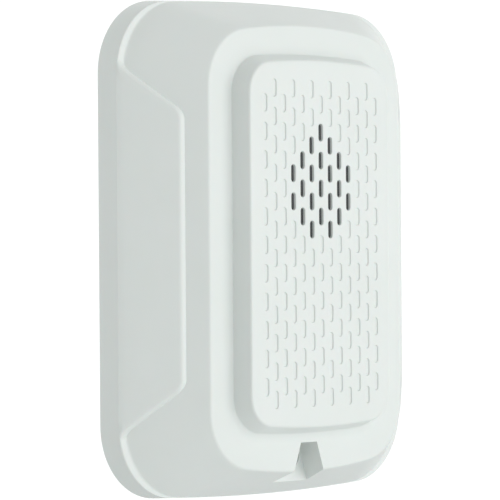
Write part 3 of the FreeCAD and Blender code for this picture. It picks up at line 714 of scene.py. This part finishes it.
@dataclass
class FrontHousing:
    """The head's one-piece moulding: band, wings, dome, rim, raised slotted panel and screw notch."""

    node: str = "front_housing"
    corner: float = 21.4
    bow: float = 2.5
    band_depth: float = 7.3
    band_draft: float = 0.45
    ledge: float = 2.2
    ledge_height: float = 0.15
    flank_corner: float = 22.0
    panel_rise: float = 5.5
    rim: Outline = Outline(39.9, 63.7, 16.8, 4.3)
    panel_foot: Outline = Outline(30.85, 53.95, 10.2, 1.5, 1.3)
    panel_front: Outline = Outline(29.2, 52.25, 8.9, 1.85, 1.3)
    ramp: tuple[float, float] = (2.8, 0.55)
    flank_power: float = 1.05
    wall: float = 2.0
    flank_wall: float = 2.4
    wing_depth: float = 19.5
    wing_half_width: float = 46.4
    wing_front: float = 38.3
    wing_back: float = 51.2
    wing_corner: float = 5.0
    wing_foot: float = 4.5
    wing_thick: float = 3.0
    wing_edge: float = 0.5
    wing_lift: float = 0.02
    slot_size: tuple[float, float] = (5.0, 1.8)
    slot_pitch: tuple[float, float] = (3.85, 7.98)
    slot_tops: tuple[float, float] = (41.0, 45.27)
    slot_rows: tuple[int, int] = (11, 12)
    slot_columns: int = 13
    slot_edge: float = 0.22
    imprint: float = 0.4
    screw_z: float = -59.6
    notch_top: float = -55.5
    notch_half_width: float = 3.35
    notch_flare: float = 0.34
    notch_floor: float = 16.6
    sound_wall: float = 0.8
    pocket_radius: float = 20.6
    horn_z: float = 19.2
    bore: float = 4.0
    bore_floor: float = 12.6
    tower_end: float = 11.2
    tower_wall: float = 1.6
    notch_wall: float = 1.8
    screw_hole: float = 2.1
    tab_place: float = 26.0
    tab_reach: float = 5.0
    tab_depths: tuple[float, float] = (0.4, 1.9)
    tab_heights: tuple[float, float] = (65.0, 69.7)
    tab_edge: float = 0.2
    post_radius: float = 3.2
    post_back: float = 10.1
    pilot_radius: float = 1.3
    pilot_depths: tuple[float, float] = (9.0, 17.0)
    posts: tuple[tuple[float, float], ...] = ((-40.0, 48.0), (40.0, 48.0), (-40.0, -44.0), (40.0, -44.0))

    def __post_init__(self) -> None:
        """Reads the overall size from the frame."""
        low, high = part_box(self.node)
        self.half_width = (high.x - low.x) / 2 / MM
        self.half_height = 71.5
        self.front = -low.y / MM
        self.rim_depth = self.front - self.panel_rise
        self.sound_rows = {0: (2, 5), 1: (3, 6), 2: (3, 5), 3: (4, 5)}

    def back(self, inset: float = 0.0) -> Outline:
        """Returns the outline at the wall, moved inwards by an inset."""
        return Outline(self.half_width, self.half_height, self.corner, self.bow).inset(inset)

    def flank(self, depth: float, inset: float = 0.0) -> Outline:
        """Returns the dome's outline at a depth."""
        share = ((depth - self.band_depth) / (self.rim_depth - self.band_depth)) ** self.flank_power
        start = Outline(
            self.half_width - self.band_draft - self.ledge,
            self.half_height - self.band_draft - self.ledge_height,
            self.flank_corner,
            self.bow,
        )
        return start.blend(self.rim, share).inset(inset)

    def wing_skin(self, z: float, depth: float) -> float:
        """Returns the wing's outer half width at a height and a depth."""
        if depth <= self.band_depth:
            width = self.half_width - self.band_draft * depth / self.band_depth
        else:
            start = self.half_width - self.band_draft
            share = ((depth - self.band_depth) / (self.wing_depth - self.band_depth)) ** self.flank_power
            width = start + (self.wing_half_width - start) * share
        beyond = max(0.0, abs(z) - (self.half_height - self.corner - 0.7 * self.bow))
        return width - self.corner + math.sqrt(self.corner ** 2 - beyond ** 2)

    def shell(self) -> bpy.types.Object:
        """Returns the closed moulding without its slots: inner skin, back edge, then outer skin."""
        inner_panel = self.panel_front.inset(self.wall)
        inner_rim = self.rim_depth - self.wall
        inner_depths = (inner_rim, 20.0, 17.0, 14.0, 11.0, 8.0, self.band_depth)
        flank_depths = (8.6, 10.2, 12.0, 13.8, 15.6, 17.4, 19.2, 20.8, 22.2, 23.2)
        ends = facing_ends(self.panel_foot)
        width, rise = self.ramp
        rise_at = rise * ends
        foot = self.panel_foot.at(self.rim_depth)
        outward = self.panel_foot.inset(-1.0).at(self.rim_depth) - foot
        ramp = []
        for share in (1.0, 0.75, 0.5, 0.25):
            loop = foot + outward * (0.4 + (width - 0.4) * ends[:, None]) * share
            loop[:, 1] -= rise_at * (1 - share) ** 2
            ramp.append(loop)
        foot[:, 1] -= rise_at
        loops = [inner_panel.at(self.front - self.wall), inner_panel.at(inner_rim)]
        loops += [self.flank(depth, self.flank_wall).at(depth) for depth in inner_depths]
        loops.append(self.back(self.band_draft + self.wall).at(self.band_depth - 1))
        loops.append(self.back(self.band_draft + self.wall).at(0))
        edge = len(loops)
        loops.append(self.back().at(0))
        loops.append(self.back(self.band_draft).at(self.band_depth))
        loops.append(self.flank(self.band_depth).at(self.band_depth))
        loops += [self.flank(depth).at(depth) for depth in flank_depths]
        rim = len(loops)
        loops.append(self.rim.at(self.rim_depth))
        loops += ramp
        loops.append(foot)
        front = len(loops)
        loops.append(self.panel_front.at(self.front))
        loops.append(self.panel_front.inset(1.2).at(self.front))
        cuts = {edge: 0.3, edge + 1: 0.5, edge + 2: 0.6, rim: 0.6, front - 1: 0.3, front: 0.75}
        return loft(softened(loops, cuts))

    def wing(self, side: int) -> bpy.types.Object:
        """Returns one wing: a flat plate with rounded corners and rim, bent over the flank's outer skin.

        Args:
            side: -1 for the left wing and 1 for the right one.
        """
        slant = math.atan2(self.wing_depth - self.band_depth, self.wing_back - self.wing_front)
        foot = self.wing_back + self.wing_foot * math.tan(slant / 2)
        centre = self.band_depth + self.wing_foot
        turns = np.linspace(slant / 8, slant, 8)
        radius = self.wing_foot
        upper = [(foot - radius * math.sin(turn), centre - radius * math.cos(turn)) for turn in turns]
        upper = [(upper[0][0], 0.2), *upper, (self.wing_front, self.wing_depth)]
        corners = upper + [(-z, depth) for z, depth in reversed(upper)]
        thick = self.wing_thick
        piece = start_loop(np.array([(0, -depth, z) for z, depth in corners]))
        bpy.ops.mesh.edge_face_add()
        select(piece, "VERT", lambda vert: -vert.co.y / MM > self.wing_depth - 0.1)
        reach = self.wing_corner * math.tan(slant / 2)
        bpy.ops.mesh.bevel(offset=reach * MM, segments=6, affect="VERTICES")
        bpy.ops.mesh.select_all(action="SELECT")
        bpy.ops.mesh.extrude_region_move(TRANSFORM_OT_translate={"value": (thick * MM, 0, 0)})
        bpy.ops.mesh.region_to_loop()
        bpy.ops.mesh.bevel(offset=self.wing_edge * MM, segments=3, affect="EDGES")
        depths = np.linspace(1.5, self.wing_depth - 0.8, 22)
        heights = np.linspace(-foot + 2.5, foot - 2.5, 41)
        for depth in depths:
            bpy.ops.mesh.select_all(action="SELECT")
            bpy.ops.mesh.bisect(plane_co=(0, -depth * MM, 0), plane_no=(0, 1, 0))
        for z in heights:
            bpy.ops.mesh.select_all(action="SELECT")
            bpy.ops.mesh.bisect(plane_co=(0, 0, z * MM), plane_no=(0, 0, 1))
        mesh = bmesh.from_edit_mesh(piece.data)
        for vert in mesh.verts:
            depth, z = -vert.co.y / MM, vert.co.z / MM
            skin = self.wing_skin(z, depth) + self.wing_lift
            if depth > self.band_depth:
                skin = max(skin, self.flank(depth).half_width + self.wing_lift)
            under = skin - 1.2 if depth <= self.band_depth else self.flank(depth).half_width - 1.0
            level = vert.co.x / MM
            width = skin - (thick - level) if level > thick / 2 else under
            vert.co.x = side * width * MM
        bmesh.update_edit_mesh(piece.data)
        finish_edit()
        return piece

    def inside(self) -> list[bpy.types.Object]:
        """Returns the posts, screw tower, notch walls and hook tabs behind the front."""
        parts = [self._post(x, z) for x, z in self.posts]
        parts.append(rod(0, self.screw_z, self.bore + self.tower_wall, self.tower_end, self.notch_floor))
        parts.append(self._notch(((14.1, -66.6), (self.rim_depth - 1, -63.0)), self.notch_wall))
        for side in (-1, 1):
            middle = side * self.tab_place
            across = (middle - self.tab_reach, middle + self.tab_reach)
            parts.append(block(across, self.tab_depths, self.tab_heights, self.tab_edge))
        return parts

    def _notch(self, ends: Iterable[tuple[float, float]], margin: float = 0.0) -> bpy.types.Object:
        """Returns the notch's flared shape as a solid.

        Args:
            ends: its depths, each with the height that it reaches down to.
            margin: how far it stands out past the notch, in millimetres.
        """
        top = self.notch_top + margin
        loops = []
        for depth, bottom in ends:
            low, high = (
                self.notch_half_width + self.notch_flare * (self.notch_top - z) + margin
                for z in (bottom, self.notch_top)
            )
            corners = ((-high, top), (high, top), (low, bottom), (-low, bottom))
            loops.append(np.array([(x, -depth, z) for x, z in corners]))
        return loft(loops)

    def _post(self, x: float, z: float) -> bpy.types.Object:
        """Returns one post for the rear cover, which ends inside the flank's wall."""
        post = rod(x, z, self.post_radius, self.post_back, 15.0, 44)
        for vert in post.data.vertices:
            if -vert.co.y / MM > 12:
                at = (abs(vert.co.x) / MM, abs(vert.co.z) / MM)
                depth = self.rim_depth
                while depth > self.band_depth + 1 and not self.flank(depth).holds(*at):
                    depth -= 0.2
                vert.co.y = -(depth - 1.2) * MM
        return post

    def openings(self) -> list[bpy.types.Object]:
        """Returns the cutters of the notch, the counterbore, the screw hole and the posts' pilot holes."""
        bottom = -self.half_height - 1
        cutters = [self._notch(((self.notch_floor, bottom), (self.front + 1, bottom)))]
        cutters.append(rod(0, self.screw_z, self.bore, self.bore_floor, self.notch_floor + 1))
        cutters.append(rod(0, self.screw_z, self.screw_hole, self.tower_end - 1, self.bore_floor + 1))
        cutters += [rod(x, z, self.pilot_radius, *self.pilot_depths) for x, z in self.posts]
        return cutters

    def slot_centres(self) -> Iterable[tuple[float, float, bool]]:
        """Yields every slot's X and Z, and whether it opens into the horn."""
        middle = (self.slot_columns + 1) // 2
        for column in range(1, self.slot_columns + 1):
            even = 1 - column % 2
            away = abs(column - middle)
            first, last = self.sound_rows.get(away, (0, -1))
            for row in range(1, self.slot_rows[even] + 1):
                x = (column - middle) * self.slot_pitch[0]
                z = self.slot_tops[even] - (row - 1) * self.slot_pitch[1]
                yield x, z, first <= row <= last

    def slot_cup(self, opens: bool) -> bpy.types.Object:
        """Returns one slot's skin at the origin: a rolled edge and a wall, with a floor unless it opens."""
        edge = self.slot_edge
        rings = [(edge + 0.08, 0.0), (edge, 0.0)]
        for turn in np.linspace(0.35, 1.57, 4):
            rings.append((edge * (1 - math.sin(turn)), edge * (1 - math.cos(turn))))
        if opens:
            rings += [(-0.03, 0.5), (-0.05, self.sound_wall)]
        else:
            rings += [(-0.04, self.imprint - 0.12), (-0.09, self.imprint - 0.03), (-0.2, self.imprint)]
        loops = [self._stadium(grow, self.front - sunk) for grow, sunk in rings]
        cup = start_loop(loops[0])
        for loop in loops[1:]:
            carry_loop(cup, loop)
        if not opens:
            bpy.ops.mesh.edge_face_add()
        mode("OBJECT")
        return cup

    def _stadium(self, grow: float, depth: float) -> np.ndarray:
        """Returns a slot's outline grown outwards, at a depth."""
        radius = self.slot_size[1] / 2
        reach = self.slot_size[0] / 2 - radius
        points = []
        for end in (1, -1):
            for turn in np.linspace(0, math.pi, 11):
                x = end * (radius + grow) * math.cos(turn)
                z = end * (reach + (radius + grow) * math.sin(turn))
                points.append((x, -depth, z))
        return np.array(points)

    def pierce(self, shell: bpy.types.Object) -> None:
        """Opens the panel's front and back and fills them again round the slot pattern."""
        masters = {opens: self.slot_cup(opens) for opens in (False, True)}
        cups = []
        for x, z, opens in self.slot_centres():
            cup = bpy.data.objects.new("slot", masters[opens].data.copy())
            cup.data.transform(Matrix.Translation((x * MM, 0, z * MM)))
            bpy.context.scene.collection.objects.link(cup)
            cups.append(cup)
        for master in masters.values():
            bpy.data.objects.remove(master)
        reach = self.pocket_radius
        turns = np.linspace(0, 2 * math.pi, 96, endpoint=False)
        circle = np.array([(reach * math.sin(t), 0, self.horn_z + reach * math.cos(t)) for t in turns])
        pocket = start_loop(circle - (0, self.front - self.wall, 0))
        carry_loop(pocket, circle - (0, self.front - self.sound_wall, 0))
        mode("OBJECT")
        cups.append(pocket)
        pick(shell)
        mode("EDIT")
        select(shell, "FACE", self._is_panel_plane)
        bpy.ops.mesh.delete(type="ONLY_FACE")
        mode("OBJECT")
        pick(shell, *cups)
        bpy.ops.object.join()
        for end in (self.front, self.front - self.sound_wall, self.front - self.wall):
            mode("EDIT")
            select(shell, "EDGE", lambda rim: rim.is_boundary and self._lies_at(rim, end))
            bpy.ops.mesh.fill(use_beauty=True)
            mode("OBJECT")
        mode("EDIT")
        finish_edit()

    def _is_panel_plane(self, face: bmesh.types.BMFace) -> bool:
        """Returns whether a face is the panel's large front or back."""
        depth = -face.calc_center_median().y / MM
        off = min(abs(depth - self.front), abs(depth - self.front + self.wall))
        return off < 0.01 and face.calc_area() > 0.002

    @staticmethod
    def _lies_at(rim: bmesh.types.BMEdge, depth: float) -> bool:
        """Returns whether an edge lies wholly at a depth."""
        return all(abs(-vert.co.y / MM - depth) < 0.001 for vert in rim.verts)

    def build(self) -> None:
        """Builds the whole moulding."""
        shell = self.shell()
        combine(shell, [self.wing(-1), self.wing(1), *self.inside()], "UNION")
        combine(shell, self.openings(), "DIFFERENCE")
        self.pierce(shell)
        smooth(shell)
        stand_for(shell, self.node, Finishes.HOUSING)


# Fasteners


def around(radius: float | np.ndarray, depth: float, x: float, z: float, sides: int) -> np.ndarray:
    """Returns a circle about a line that runs into the depth; each point may have its own radius."""
    turns = np.linspace(0, 2 * math.pi, sides, endpoint=False)
    loop = np.empty((sides, 3))
    loop[:, 0] = x + radius * np.cos(turns)
    loop[:, 1] = -depth
    loop[:, 2] = z + radius * np.sin(turns)
    return loop


@dataclass(frozen=True)
class Extent:
    """The place of a round node whose line runs into the depth, in millimetres."""

    x: float
    z: float
    back: float
    front: float
    radius: float

    @staticmethod
    def of(node: str) -> "Extent":
        """Reads a node's place from the frame."""
        low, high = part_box(node)
        x, z = (low.x + high.x) / 2 / MM, (low.z + high.z) / 2 / MM
        return Extent(x, z, -high.y / MM, -low.y / MM, (high.z - low.z) / 2 / MM)


@dataclass(frozen=True)
class ScrewKind:
    """A kind of screw: its head, shank, thread and recess (arm, width and depth)."""

    head: float
    rise: float
    shank: float
    pitch: float
    recess: tuple[float, float, float]


@dataclass
class CrossScrew:
    """A cross-recess screw: crowned head, plain neck, helical thread and chamfered tip."""

    kind: ScrewKind
    x: float
    z: float
    tip: float
    crown: float
    neck: float = 0.5
    steps: int = 6
    sides: int = 24

    def __post_init__(self) -> None:
        """Finds which way the screw points and where its head sits."""
        self.way = 1 if self.crown > self.tip else -1
        self.seat = self.crown - self.way * self.kind.rise

    def ring(self, radius: float | np.ndarray, depth: float) -> np.ndarray:
        """Returns a circle round the screw's line."""
        return around(radius, depth, self.x, self.z, self.sides)

    def loops(self) -> list[np.ndarray]:
        """Returns the profile from the tip to the crown."""
        kind, way, seat = self.kind, self.way, self.seat
        turns = np.linspace(0, 1, self.sides, endpoint=False)
        length = abs(seat - self.tip) - self.neck
        root = kind.shank - 0.42 * kind.pitch
        rings = [self.ring(root * 0.75, self.tip)]
        for along in np.arange(0.15, length, kind.pitch / self.steps):
            phase = (along / kind.pitch - turns) % 1.0
            crest = 1 - np.abs(2 * phase - 1)
            ends = min(1.0, along / kind.pitch, (length - along) / kind.pitch + 0.2)
            radius = root + (kind.shank - 0.01 - root) * np.clip(crest * 1.5 - 0.2, 0, 1) * ends
            rings.append(self.ring(radius, self.tip + way * along))
        rings.append(self.ring(root, seat - way * self.neck * 0.6))
        rings.append(self.ring(root, seat))
        rings.append(self.ring(kind.head - 0.12, seat))
        rings.append(self.ring(kind.head, seat + way * 0.12))
        rise = abs(self.crown - seat)
        for turn in np.linspace(0.15, 0.92, 7) * math.pi / 2:
            reach = kind.head * math.cos(turn) ** 0.55
            rings.append(self.ring(reach, seat + way * (rise * (0.35 + 0.65 * math.sin(turn)))))
        return rings

    def driver(self) -> list[bpy.types.Object]:
        """Returns the two crossed tapered blades that cut the recess."""
        arm, width, deep = self.kind.recess
        blades = []
        for across in (False, True):
            loops = []
            for reach, depth in ((0.45, self.crown - self.way * deep), (1.0, self.crown + self.way * 0.2)):
                far, half = arm * reach, width / 2
                corners = ((-far, -half), (far, -half), (far, half), (-far, half))
                if across:
                    corners = [(b, a) for a, b in corners]
                loops.append(np.array([(self.x + a, -depth, self.z + b) for a, b in corners]))
            blades.append(loft(loops))
        return blades

    def build(self) -> bpy.types.Object:
        """Returns the screw."""
        screw = loft(self.loops())
        combine(screw, self.driver(), "DIFFERENCE")
        smooth(screw, 38)
        return screw


@dataclass
class Fasteners:
    """The captive screw, the four binding screws and the four cover screws."""

    captive: ScrewKind = ScrewKind(3.5, 2.2, 1.75, 0.794, (2.1, 0.8, 1.4))
    binding: ScrewKind = ScrewKind(3.3, 1.4, 1.5, 0.7, (1.9, 0.75, 0.85))
    cover: ScrewKind = ScrewKind(2.6, 1.3, 1.45, 1.0, (1.5, 0.6, 0.8))

    def build(self) -> None:
        """Builds every screw at its node's place; the cover's screws are one piece and face the wall."""
        kinds = {"captive_screw": self.captive}
        kinds.update({f"terminal_screw_{number}": self.binding for number in range(1, 5)})
        for node, kind in kinds.items():
            at = Extent.of(node)
            stand_for(CrossScrew(kind, at.x, at.z, at.back, at.front).build(), node, Finishes.STEEL)
        at = Extent.of("cover_screws")
        screws = [CrossScrew(self.cover, x, z, at.front, at.back).build() for x, z in FrontHousing.posts]
        pick(*screws)
        bpy.ops.object.join()
        stand_for(screws[0], "cover_screws", Finishes.STEEL)


# Electronics


@dataclass
class Electronics:
    """The coil's winding and the capacitors, which stand on the circuit board."""

    wire: float = 0.36
    winding_bore: float = 3.05
    vent_reach: float = 3.2
    vent_width: float = 0.24
    vent_depth: float = 0.12
    top_sink: float = 0.2

    def winding(self) -> None:
        """Builds the coil's winding: turns that lie side by side in one outer layer."""
        at = Extent.of("coil_winding")
        sides = 40
        turns = int((at.front - at.back) / self.wire)
        pitch = (at.front - at.back) / turns
        valley = at.radius - self.wire / 2
        loops = [around(self.winding_bore, depth, at.x, at.z, sides) for depth in (at.front, at.back)]
        for turn in range(turns):
            for share in (0.0, 0.25, 0.5, 0.75):
                bulge = math.sin(share * math.pi) * self.wire / 2
                loops.append(around(valley + bulge, at.back + (turn + share) * pitch, at.x, at.z, sides))
        loops.append(around(valley, at.front, at.x, at.z, sides))
        winding = loft(loops, closed=False)
        pick(winding)
        mode("EDIT")
        select_open_edges()
        bpy.ops.mesh.bridge_edge_loops()
        finish_edit()
        smooth(winding)
        stand_for(winding, "coil_winding", Finishes.COPPER)

    def capacitors(self) -> None:
        """Builds the two cans: a rolled neck, a sleeve whose lip turns over the top and a scored vent."""
        low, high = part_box("filter_capacitors")
        at = Extent.of("filter_capacitors")
        radius, rise = at.radius, at.front - at.back
        profile = [
            (radius - 0.9, 0.0), (radius - 0.25, 0.0), (radius, 0.3), (radius, 1.6), (radius - 0.45, 2.1),
            (radius - 0.45, 2.4), (radius, 2.9), (radius, rise - 0.5), (radius - 0.15, rise - 0.1),
            (radius - 0.5, rise), (radius - 0.9, rise), (radius - 1.0, rise - self.top_sink),
        ]
        cans = []
        for x in (low.x / MM + radius, high.x / MM - radius):
            loops = [around(reach, at.back + height, x, at.z, 48) for reach, height in profile]
            can = loft(softened(loops, {4: 0.2, 5: 0.2}, 3))
            combine(can, self.vents(x, at), "DIFFERENCE")
            cans.append(can)
        pick(*cans)
        bpy.ops.object.join()
        smooth(cans[0])
        stand_for(cans[0], "filter_capacitors", Finishes.SLEEVE)

    def vents(self, x: float, at: Extent) -> list[bpy.types.Object]:
        """Returns the two crossed cutters that score a can's top."""
        reach, half = self.vent_reach, self.vent_width / 2
        depths = (at.front - self.top_sink - self.vent_depth, at.front + 1)
        along = block((x - reach, x + reach), depths, (at.z - half, at.z + half))
        across = block((x - half, x + half), depths, (at.z - reach, at.z + reach))
        return [along, across]

    def build(self) -> None:
        """Builds every piece."""
        self.winding()
        self.capacitors()


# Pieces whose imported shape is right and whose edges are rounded


REFINED = {
    "mounting_plate": (Finishes.PLATE, 0.35),
    "rear_cover": (Finishes.PLATE, 0.25),
    "screw_insert": (Finishes.BRASS, 0.15),
    "screw_retainer": (Finishes.TERMINAL, 0.12),
    "terminal_block": (Finishes.TERMINAL, 0.2),
    "terminal_contacts": (Finishes.BRASS, 0.12),
    "shorting_spring": (Finishes.BRONZE, 0.06),
    "contact_blades": (Finishes.BRASS, 0.15),
    "resonator_front": (Finishes.CHAMBER, 0.3),
    "resonator_rear": (Finishes.CHAMBER, 0.3),
    "screen_gasket": (Finishes.FOAM, 0.3),
    "tone_switch": (Finishes.TERMINAL, 0.25),
    "tone_dial": (Finishes.DIAL, 0.2),
    "coil_core": (Finishes.FERRITE, 0.25),
    "driver_chip": (Finishes.CHIP, 0.1),
    "surface_parts": (Finishes.CHIP, 0.12),
    "circuit_board": (Finishes.BOARD, 0.1),
    **{f"terminal_clamp_{number}": (Finishes.STEEL, 0.15) for number in range(1, 5)},
}


# Studio


@dataclass(frozen=True)
class Studio:
    """Pale floor, white surroundings, soft lights and the camera."""

    azimuth: float = -46.27
    elevation: float = 0.125
    roll: float = -0.414
    distance: float = 909.3
    aim: tuple[float, float] = (0.995, -0.367)
    focal: float = 3114.8
    frame_width: float = 500.0
    sensor: float = 36.0
    floor_drop: float = 0.45
    floor_size: float = 7.2
    front_glow: float = 0.72
    back_gain: float = 0.31
    right_gain: float = 0.12
    top_loss: float = 0.22
    key_place: tuple[float, float, float] = (0.75, -1.8, 0.1)
    key_size: float = 1.8
    key_power: float = 18.5

    def camera(self) -> None:
        """Places the camera at the chosen angle round the object's centre."""
        turn = -math.radians(self.azimuth)
        rise = math.radians(self.elevation)
        lean = math.radians(self.roll)
        ahead = Vector((math.sin(turn) * math.cos(rise), math.cos(turn) * math.cos(rise), -math.sin(rise)))
        right = Vector((math.cos(turn), -math.sin(turn), 0))
        up = right.cross(ahead)
        level = right * math.cos(lean) + up * math.sin(lean)
        upright = up * math.cos(lean) - right * math.sin(lean)
        place = (ahead * -self.distance + level * self.aim[0] + upright * self.aim[1]) * MM
        data = bpy.data.cameras.new("camera")
        data.sensor_width = self.sensor
        data.lens = self.focal / self.frame_width * self.sensor
        data.clip_end = 50
        camera = bpy.data.objects.new("camera", data)
        camera.matrix_world = Matrix((
            (level.x, upright.x, -ahead.x, place.x),
            (level.y, upright.y, -ahead.y, place.y),
            (level.z, upright.z, -ahead.z, place.z),
            (0, 0, 0, 1),
        ))
        bpy.context.scene.collection.objects.link(camera)
        bpy.context.scene.camera = camera

    def surroundings(self) -> None:
        """Paints a room that is white behind the object and dimmer in front of it."""
        world = bpy.data.worlds.new("studio")
        bpy.context.scene.world = world
        tree = Tree(world)
        way = tree.node("ShaderNodeTexCoord", output="Generated")
        behind = tree.axis(way, "Y").between(-0.15, 0.35)
        right = tree.axis(way, "X").math("MAXIMUM", 0.0)
        above = tree.axis(way, "Z").math("MAXIMUM", 0.0)
        glow = self.front_glow + behind * self.back_gain + right * self.right_gain - above * self.top_loss
        inputs = {"Color": (0.985, 1.0, 0.995, 1), "Strength": glow}
        background = tree.node("ShaderNodeBackground", inputs=inputs)
        tree.node("ShaderNodeOutputWorld", inputs={"Surface": background}, output=None)
        bpy.context.scene.view_settings.view_transform = "Standard"

    def floor(self) -> None:
        """Lays a large pale floor below the object."""
        deselect()
        height = CAD_BOX[0][2] - self.floor_drop
        bpy.ops.mesh.primitive_plane_add(size=self.floor_size, location=(0, 0, height))
        floor = bpy.context.object
        floor.name = "floor"
        material = bpy.data.materials.new("floor_white")
        tree = Tree(material)
        tree.surface(Base_Color=(0.84, 0.85, 0.85, 1), Roughness=0.9)
        floor.data.materials.append(material)

    def key(self) -> None:
        """Adds one soft square light that looks at the object."""
        data = bpy.data.lights.new("key", "AREA")
        data.size = self.key_size
        data.energy = self.key_power
        lamp = bpy.data.objects.new("key", data)
        lamp.location = self.key_place
        lamp.rotation_euler = (-Vector(self.key_place)).to_track_quat("-Z", "Y").to_euler()
        bpy.context.scene.collection.objects.link(lamp)

    def build(self) -> None:
        """Sets everything up."""
        self.camera()
        self.surroundings()
        self.floor()
        self.key()


PLAIN_FINISHES = {
    "dust_screen": Finishes.SCREEN,
    "piezo_disc": Finishes.BRASS,
    "piezo_element": Finishes.CERAMIC,
    "disc_lead": Finishes.LEAD_BLACK,
    "element_lead": Finishes.LEAD_RED,
}


def main() -> None:
    """Builds the studio and every piece."""
    logging.basicConfig(level=logging.INFO, format="%(name)s %(message)s")
    Studio().build()
    FrontHousing().build()
    Fasteners().build()
    Electronics().build()
    for node, (finish, edge) in REFINED.items():
        refine(node, finish, edge)
    for node, finish in PLAIN_FINISHES.items():
        dress(frame["nodes"][node], finish)


if __name__ == "__main__":
    main()
